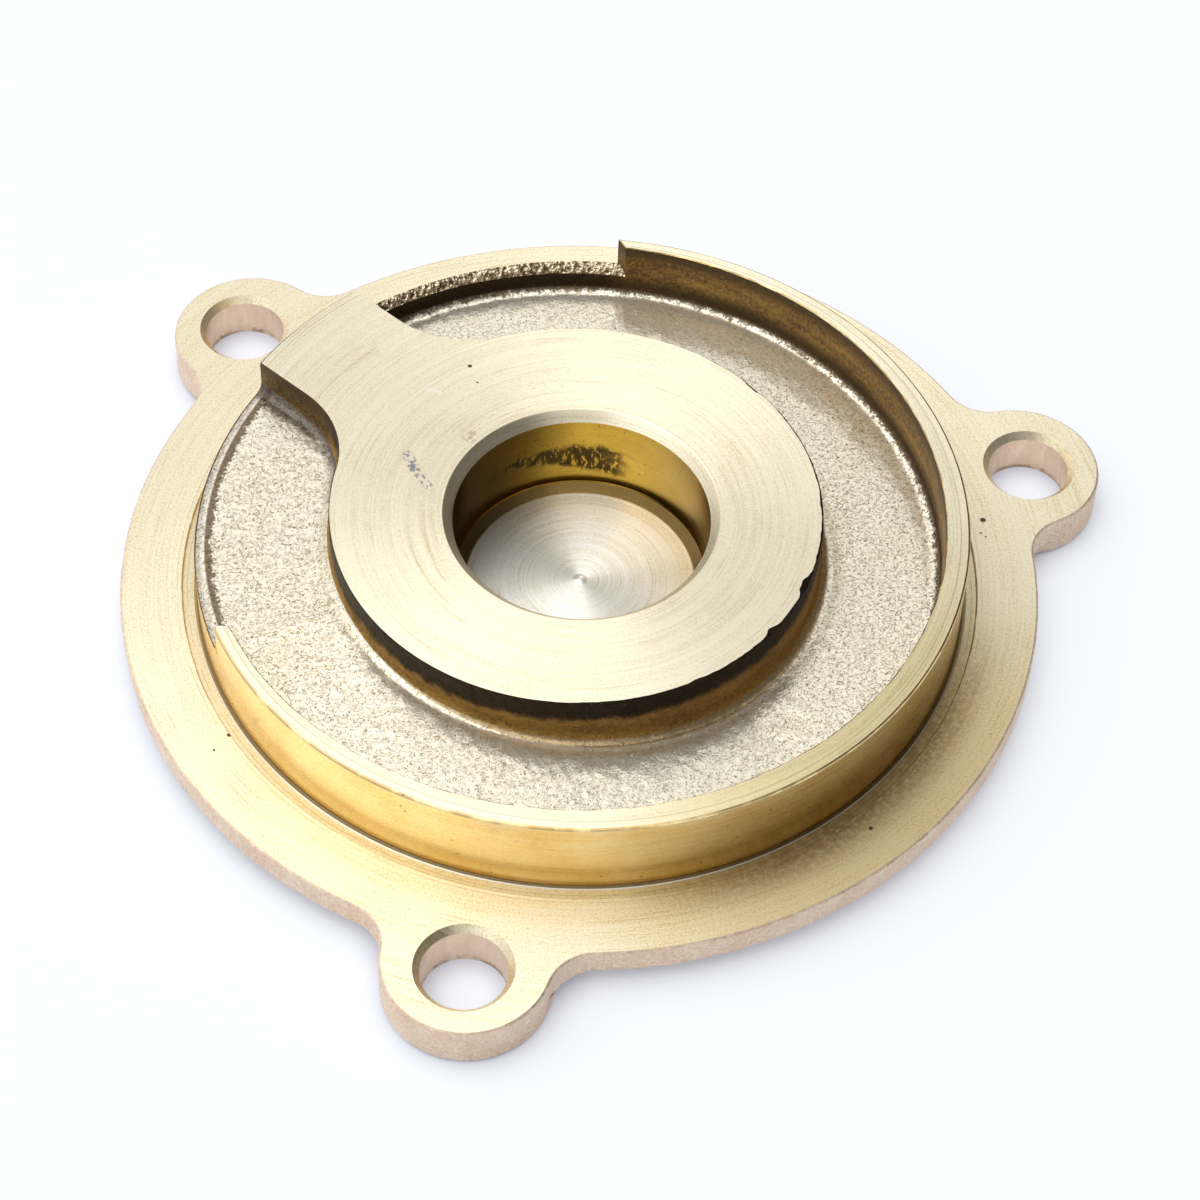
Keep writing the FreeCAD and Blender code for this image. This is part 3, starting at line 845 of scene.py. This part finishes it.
def corner_marks(f, vector, x, y, radius, colour):
    """Mottled brown where the bore's floor curves up to its wall."""
    mottle = f.grain(vector, 1.3, 3.0, 0.6).step(0.35, 0.6) * 0.4 + 0.6
    return f.blend(radius.step(12.5, 12.8) * mottle * 0.9, colour, (0.26, 0.16, 0.05))


def relief_marks(f, vector, x, y, radius, colour):
    """The darker turned relief at the spigot's foot, with painted shade towards the front right and in the
    groove at the foot, a painted shadow of the spigot beside it there, and a painted highlight on the lip.
    """
    # Painted shade: the flange is tinted darker towards the front right, with a painted shadow of the spigot
    # beside it there.
    painted_shade_south_east = front_right(x, y, radius).step(1.0, 1.4) * 0.8
    colour = f.tint(painted_shade_south_east, colour, (0.82, 0.72, 0.5))
    mottle = f.grain(vector, 1.6, 3.0, 0.6).step(0.3, 0.62) * 0.6 + 0.4
    shaded = (1.0 - radius.step(43.9, 48.2)) * front_right(x, y, radius).step(1.05, 1.4) * mottle
    colour = f.tint(shaded * 0.8, colour, (0.42, 0.33, 0.2))
    inside = 1.0 - radius.step(43.55, 43.8)
    colour = f.blend(inside * 0.3, colour, (0.42, 0.33, 0.16))
    lines = (band(radius, 43.15, 0.07) * 0.6).high(band(radius, 43.74, 0.1))
    lines = lines.high(band(radius, 44.25, 0.06) * 0.6)
    lines = lines * f.grain(vector, 0.25, 2.0).step(0.35, 0.5)
    colour = f.blend(lines * 0.6, colour, (0.25, 0.18, 0.08))
    # Painted shade in the groove at the spigot's foot.
    colour = f.blend((1.0 - radius.step(42.12, 42.26)) * 0.85, colour, (0.16, 0.11, 0.05))
    # A painted highlight on the lip beside the groove.
    return f.blend(band(radius, 42.42, 0.12), colour, (1.0, 0.97, 0.84))


def bore_wall_metal(name):
    """Smooth honed gold wall with a dark, scaly stain on the far side, and painted shade on its west side."""
    f = Finish(name)
    vector, x, y, z = f.place()
    lines = f.grain(f.vector(x * 0.05, y * 0.05, z * 6.0), 1.0, 3.0)
    cloud = f.grain(vector, 0.22, 3.0)
    scale = f.grain(f.vector(x * 2.4, y * 2.4, z * 0.9), 1.0, 4.0, 0.7)
    shape = f.grain(vector, 0.45, 3.0, 0.6)
    top = 4.6 - (x + 0.6).size() * 0.06 + (shape - 0.5) * 2.6
    foot = 0.5 + (0.0 - x).high(0.0) * 0.3 + (shape - 0.5) * 1.4
    wander = (shape - 0.5) * 5.0
    patch = y.step(4.5, 7.5) * (1.0 - (x + wander).step(2.2, 6.4)) * (x + 12.5).step(0.0, 3.0)
    inside = (top - z).step(-0.5, 0.4) * (z - foot).step(-0.4, 0.6)
    fade = (x + 11.0).step(0.0, 6.0) * 0.1
    stain = (scale + fade).step(0.47, 0.6) * patch * inside
    tail = (scale * patch).step(0.62, 0.66) * z.step(-0.9, -0.5) * 0.7
    specks = f.grain(vector, 2.6, 2.0).step(0.66, 0.71)
    colour = f.blend((lines * 0.8 + cloud * 0.9 - 0.35).within(), (0.4, 0.235, 0.025), (0.8, 0.53, 0.09))
    colour = f.blend(x.step(2.0, 11.0) * 0.6, colour, (0.34, 0.23, 0.06))
    # Painted shade on the west side of the wall.
    colour = f.blend((0.0 - x).step(3.0, 11.5) * 0.75, colour, (0.14, 0.08, 0.03))
    colour = f.blend(specks * 0.6, colour, (0.12, 0.075, 0.02))
    colour = f.blend(stain.high(tail) * 0.88, colour, (0.055, 0.04, 0.018))
    colour = f.blend((1.0 - z.step(-1.5, -1.25)) * 0.9, colour, (0.085, 0.055, 0.025))
    rough = 0.16 + lines * 0.06 + stain * 0.35
    return f.metal(colour, rough, f.bump(lines + stain * 2.0, 0.006))


def sand_floor_metal(name):
    """The channel's floor, as cast: pale sand grain with short dark winding crevices, and painted shade
    towards its east and west sides, along the feet of the ring and the hub, in the inlet's corner and beside
    the land.
    """
    f = Finish(name)
    vector, x, y, _ = f.place()
    radius = (x * x + y * y) ** 0.5
    fine = f.grain(vector, 3.4, 3.0, 0.6)
    coarse = f.grain(vector, 1.0, 2.0)
    winding = f.grain(vector, 3.2, 0.0, 0.5, 0.9)
    broken = f.grain(vector, 2.1, 2.0).step(0.42, 0.56)
    crevice = (1.0 - (winding - 0.5).size().step(0.01, 0.04)) * broken
    cloud = f.grain(vector, 0.09, 2.0)
    colour = f.blend((fine + (cloud - 0.5) * 0.3).step(0.3, 0.52), (0.93, 0.8, 0.56), (1.0, 0.94, 0.77))
    # The dark crevices are real marks and partly painted shade; towards the east and west sides they and the
    # darker specks are stronger, as painted shade from grazing light.
    side = (x / radius) ** 2.0
    colour = f.blend(crevice * (side * 0.45 + 0.5), colour, (0.26, 0.18, 0.08))
    colour = f.blend((1.0 - fine.step(0.38, 0.5)) * side * 0.5, colour, (0.4, 0.3, 0.18))
    port_edge = radius.step(41.1, 41.7) * (0.0 - x).step(30.0, 33.0) * fine.step(0.4, 0.56)
    colour = f.blend(port_edge * 0.75, colour, (0.2, 0.18, 0.22))
    ragged_edge = (fine - 0.5) * 1.6 + (coarse - 0.5) * 1.2
    from_ring = RING_WALL - apart(x, y, CORE)
    from_hub = radius - HUB_RADIUS
    # Painted shade at the foot of the ring's wall, with a ragged edge.
    foot = (1.0 - (from_ring + ragged_edge).step(0.35, 0.75)) * from_ring.step(-0.4, -0.15)
    colour = f.blend(foot * 0.9, colour, (0.15, 0.1, 0.05))
    # Painted shade on the floor beside the hub, and a brown painted shade at the hub's very foot.
    painted_shade_near_hub = 1.0 - (from_hub + ragged_edge).step(0.9, 2.6)
    colour = f.blend(painted_shade_near_hub * from_hub.step(0.8, 1.2) * 0.5, colour, (0.5, 0.42, 0.26))
    colour = f.blend((1.0 - from_hub.step(0.25, 0.5)) * 0.8, colour, (0.4, 0.25, 0.08))
    # Painted shadow on the floor in the inlet's corner of the land and beside its flank.
    corner_x = x - LAND_CORNER[0]
    corner_y = y - LAND_CORNER[1]
    from_corner = (corner_x ** 2.0 + corner_y ** 2.0) ** 0.5
    in_corner = ((corner_x * 0.94 + corner_y * 0.34) / from_corner).step(0.78, 0.88)
    shade = in_corner * (from_corner + ragged_edge).step(LAND_BLEND - 2.2, LAND_BLEND - 0.9)
    along = y * LAND_WAY[1] - x * LAND_WAY[0]
    across = 0.0 - x * LAND_WAY[1] - y * LAND_WAY[0]
    painted_shadow_beside_land = (1.0 - (across + ragged_edge).step(8.4, 9.8)) * across.step(6.5, 7.0) * along.step(31.5, 33.5)
    shade = shade * (1.0 - from_corner.step(LAND_BLEND + 1.0, LAND_BLEND + 2.0))
    colour = f.blend(shade.high(painted_shadow_beside_land) * 0.9, colour, (0.07, 0.05, 0.04))
    rough = 0.2 - (fine - 0.5) * 0.2
    return f.metal(colour, rough, f.bump(fine * 0.5 + coarse * 0.35 - crevice * 1.0, 0.045), 0.7)


def core_wall_metal(name):
    """Walls that the sand core shaped: dark skin above, golden where the foot begins, with a painted shadow
    under the outlet's sill and painted highlight glints.
    """
    f = Finish(name)
    vector, x, y, z = f.place()
    radius = (x * x + y * y) ** 0.5
    fine = f.grain(vector, 2.3, 4.0, 0.75)
    patch = f.grain(f.vector(x * 0.14, y * 0.14, z * 0.8), 1.0, 3.0, 0.55)
    mottle = (patch - 0.5) * 2.4 + (fine - 0.5) * 4.5
    on_land = (y * LAND_WAY[1] - x * LAND_WAY[0]).step(28.0, 31.0)
    on_hub = (1.0 - radius.step(33.0, 36.0)) * (1.0 - on_land)
    tide = z + (f.grain(vector, 0.6, 3.0) - 0.5) * 1.8 + (fine - 0.5) * 2.2
    below = 1.0 - tide.step(5.9, 7.2)
    # Painted shadow on the walls under the outlet's sill.
    shaded = (1.0 - x.step(1.5, 5.0)) * y.step(20.0, 26.0)
    middle = z.step(3.4, 5.6) * (1.0 - (z + (patch - 0.5) * 3.0).step(7.0, 9.0))
    ring_gold = (0.5 + mottle * 0.6) * (middle * 0.9 + 0.1) * (1.0 - on_land * 0.6)
    gold = on_hub * below * (0.85 + mottle * 0.5) + (1.0 - on_hub) * ring_gold * (1.0 - shaded * 0.85)
    dark = f.blend(on_hub.high(shaded * 0.8), (0.1, 0.065, 0.035), (0.045, 0.032, 0.022))
    colour = f.blend(gold.within(), dark, (0.52, 0.32, 0.1))
    # Painted highlights: small bright glints in the grain.
    colour = f.blend(fine.step(0.62, 0.72) * 0.35, colour, (0.75, 0.55, 0.25))
    rough = 0.5 + (fine - 0.5) * 0.4
    return f.metal(colour, rough, f.bump(fine, 0.2))


def sill_metal(name):
    """The outlet's sill, as cast: dull, beady and brown grain, with the beads' crests painted bright as
    highlights and their hollows painted dark as shade.
    """
    f = Finish(name)
    vector = f.place()[0]
    bead = f.grain(vector, 1.9, 2.0, 0.5)
    cloud = f.grain(vector, 0.5, 2.0)
    # The colour follows the beads' height: a painted highlight on the crests and painted shade in the
    # hollows.
    colour = f.blend((bead + cloud * 0.3).step(0.5, 0.74), (0.2, 0.13, 0.07), (0.95, 0.8, 0.56))
    return f.metal(colour, 0.36 - (bead - 0.5) * 0.5, f.bump(bead, 0.55))


def spigot_side_metal(name):
    """The spigot's outside: turned smooth, a deeper gold, brown where worn along its top edge, and with
    painted shade along its foot.
    """
    f = Finish(name)
    vector, x, y, z = f.place()
    lines = f.grain(f.vector(x * 0.06, y * 0.06, z * 5.0), 1.0, 3.0)
    speckle = f.grain(vector, 3.6, 3.0, 0.7)
    cloud = f.grain(vector, 0.14, 3.0)
    tone = 0.5 + (lines - 0.5) * 1.2 + (cloud - 0.5) * 1.6 + (speckle - 0.5) * 1.6
    colour = f.blend(tone.within(), (0.86, 0.56, 0.2), (1.0, 0.86, 0.5))
    colour = f.blend((1.0 - z.step(-0.3, 6.0)) * 0.55, colour, (0.88, 0.58, 0.14))
    dots = f.node("ShaderNodeTexVoronoi", {}, {"Vector": vector, "Scale": 0.55})
    dot = (1.0 - dots.step(0.05, 0.11)) * f.grain(vector, 0.3, 1.0).step(0.42, 0.52)
    colour = f.blend(dot.high(speckle.step(0.66, 0.72)) * 0.75, colour, (0.22, 0.12, 0.04))
    # Painted shade along the foot, and wear along the top edge.
    wavy = z + (speckle - 0.5) * 0.5
    worn = f.grain(vector, 0.4, 2.0).step(0.35, 0.55)
    edges = (1.0 - wavy.step(-0.15, 0.25)).high(wavy.step(9.22, 9.4) * worn)
    colour = f.blend(edges * 0.5, colour, (0.2, 0.12, 0.05))
    rough = 0.26 + (lines - 0.5) * 0.16
    return f.metal(colour, rough, f.bump(lines + speckle * 0.5, 0.006))


def hole_wall_metal(name):
    """Walls of the bolt holes: smooth and peach-coloured."""
    f = Finish(name)
    vector, x, y, z = f.place()
    fine = f.grain(vector, 3.0, 3.0, 0.65)
    drawn = f.grain(f.vector(x * 1.2, y * 1.2, z * 0.25), 1.0, 3.0)
    colour = f.blend((fine * 0.8 + drawn * 0.9 - 0.35).within(), (0.76, 0.53, 0.36), (1.0, 0.86, 0.68))
    foot = (1.0 - (z + (fine - 0.5) * 1.4).step(-5.1, -4.7)) * f.grain(vector, 0.5, 2.0).step(0.4, 0.6)
    colour = f.blend(foot * 0.6, colour, (0.3, 0.16, 0.06))
    return f.metal(colour, 0.38 + (fine - 0.5) * 0.2, f.bump(fine + drawn, 0.03), 0.8)


def cast_skin_metal(name):
    """The outside as cast: dull, pinkish and grainy."""
    f = Finish(name)
    vector = f.place()[0]
    fine = f.grain(vector, 2.8, 4.0, 0.7)
    cloud = f.grain(vector, 0.2, 3.0)
    colour = f.blend((fine * 1.9 + cloud * 0.7 - 0.8).within(), (0.66, 0.43, 0.28), (1.0, 0.88, 0.7))
    rough = 0.5 + (fine - 0.5) * 0.3
    return f.metal(colour, rough, f.bump(fine, 0.12), 0.7)


# The larger pores, with their places and radii.
HUB_PITS = (((-12.95, 21.06), 0.3), ((-12.0, 18.6), 0.16))
FLANGE_PITS = (((-36.63, -24.11), 0.3), ((-38.03, -26.13), 0.18), ((44.93, 8.53), 0.42),
               ((44.6, 6.6), 0.16), ((45.1, 6.1), 0.14), ((30.83, -34.02), 0.28))

FINISH_MATERIALS = {
    "bore_floor": turned_metal("bore floor", light=(1.0, 0.99, 0.93), dark=(0.62, 0.5, 0.27),
                               roughness=0.31, pitch=0.3, sparkle=0.9, anisotropy=1.0, marks=corner_marks),
    "bore_wall": bore_wall_metal("bore wall"),
    "turned_face": turned_metal("turned face", light=(1.0, 0.92, 0.71), dark=(0.62, 0.53, 0.3),
                                roughness=0.34, pitch=0.25, sparkle=1.1, anisotropy=0.8,
                                pits=HUB_PITS, marks=hub_marks),
    "channel_floor": sand_floor_metal("channel floor"),
    "core_wall": core_wall_metal("core wall"),
    "sill_skin": sill_metal("sill skin"),
    "spigot_side": spigot_side_metal("spigot side"),
    "flange_face": turned_metal("flange face", light=(1.0, 0.92, 0.7), dark=(0.72, 0.58, 0.31),
                                roughness=0.4, pitch=0.3, sparkle=2.2, anisotropy=0.7,
                                pits=FLANGE_PITS, marks=relief_marks),
    "hole_wall": hole_wall_metal("hole wall"),
    "cast_skin": cast_skin_metal("cast skin"),
}
for kind in FINISHES:
    mesh.materials.append(FINISH_MATERIALS[kind])

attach(casting, "root")
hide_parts("impeller_cover")

# The floor: pale, with a soft shadow, white to the camera where nothing shades it, and with a painted bluish
# shadow at the contact.
FLOOR_HALF = 3.0
floor_mesh = bpy.data.meshes.new("floor")
corners = ((-1, -1), (1, -1), (1, 1), (-1, 1))
floor_mesh.from_pydata([(x * FLOOR_HALF, y * FLOOR_HALF, cad_low.z) for x, y in corners], [], [(0, 1, 2, 3)])
floor = bpy.data.objects.new("floor", floor_mesh)
bpy.context.collection.objects.link(floor)
ground = Finish("pale floor")
path = ground.node("ShaderNodeLightPath").socket.node
to_camera = Signal(ground, path.outputs["Is Camera Ray"])
to_metal = Signal(ground, path.outputs["Is Glossy Ray"])
white_rays = to_camera * 0.5 + to_metal * 0.5
paint = ground.node("ShaderNodeBsdfDiffuse", {}, {"Color": (0.76, 0.82, 0.99, 1.0)})
# The glow's colour holds a painted shadow: darker and bluish where the floor is closed in near the contact.
openness = ground.node("ShaderNodeAmbientOcclusion", {"samples": 8}, {"Distance": 0.004}, 1)
glow_with_painted_shadow = ground.blend(openness.step(0.0, 0.9), (0.12, 0.12, 0.2), (1.0, 1.0, 1.0))
glow = ground.node("ShaderNodeEmission", {}, {"Color": glow_with_painted_shadow, "Strength": 1.26})
surface = ground.node("ShaderNodeMixShader", {}, {0: white_rays, 1: paint, 2: glow})
ground.node("ShaderNodeOutputMaterial", {}, {"Surface": surface}, None)
floor_mesh.materials.append(ground.material)

# Light: a bright ceiling that dims towards the horizon, and a large soft lamp high on the left.
world = bpy.data.worlds.new("studio")
world.use_nodes = True
bpy.context.scene.world = world
sky = Finish("studio", world.node_tree)
direction = sky.node("ShaderNodeTexCoord", output="Generated")
parts = sky.node("ShaderNodeSeparateXYZ", inputs={0: direction}).socket.node
east, north, height = (Signal(sky, output) for output in parts.outputs)
seen = sky.node("ShaderNodeLightPath", output="Is Camera Ray")
gloom = east.step(0.05, 0.58)
behind_camera = (height * 0.6 - north * 0.8).step(0.92, 0.985)
ceiling = (1.0 - gloom * 0.88) * (height.step(-0.1, 0.8) * 0.1 + 0.92) * (1.0 - behind_camera * 0.6)
strength = seen + (1.0 - seen) * ceiling
backdrop = sky.node("ShaderNodeBackground", {}, {"Color": (1.0, 1.0, 1.0, 1.0), "Strength": strength})
sky.node("ShaderNodeOutputWorld", {}, {"Surface": backdrop}, None)


def soft_lamp(name, azimuth, elevation, distance, across, power):
    """A square lamp that faces the cover from this direction, in degrees and metres."""
    lamp = bpy.data.lights.new(name, "AREA")
    lamp.shape = "SQUARE"
    lamp.size = across
    lamp.energy = power
    holder = bpy.data.objects.new(name, lamp)
    flat = math.cos(math.radians(elevation)) * distance
    spot = Vector((flat * math.cos(math.radians(azimuth)), flat * math.sin(math.radians(azimuth)),
                   distance * math.sin(math.radians(elevation))))
    holder.location = spot
    holder.rotation_euler = (-spot).to_track_quat("-Z", "Y").to_euler()
    bpy.context.collection.objects.link(holder)


soft_lamp("key lamp", azimuth=178.0, elevation=68.0, distance=0.8, across=1.0, power=2.4)

# The camera stands where the photograph was taken from.
CAMERA_SPOT = (0.0, -0.230617, 0.277591)
YAW = 0.009847768591
PITCH = 0.88709011735
ROLL = 0.03327772631
LENS = 98.172
SENSOR = 36.0
ahead = Vector((math.sin(YAW) * math.cos(PITCH), math.cos(YAW) * math.cos(PITCH), -math.sin(PITCH)))
level_right = Vector((math.cos(YAW), -math.sin(YAW), 0.0))
level_up = level_right.cross(ahead)
right = level_right * math.cos(ROLL) + level_up * math.sin(ROLL)
up = level_up * math.cos(ROLL) - level_right * math.sin(ROLL)
camera_data = bpy.data.cameras.new("camera")
camera_data.lens = LENS
camera_data.sensor_width = SENSOR
camera_data.clip_start = 0.01
camera = bpy.data.objects.new("camera", camera_data)
turn_matrix = Matrix((right, up, -ahead)).transposed().to_4x4()
camera.matrix_world = Matrix.Translation(CAMERA_SPOT) @ turn_matrix
bpy.context.collection.objects.link(camera)
bpy.context.scene.camera = camera

bpy.context.scene.view_settings.view_transform = "Standard"
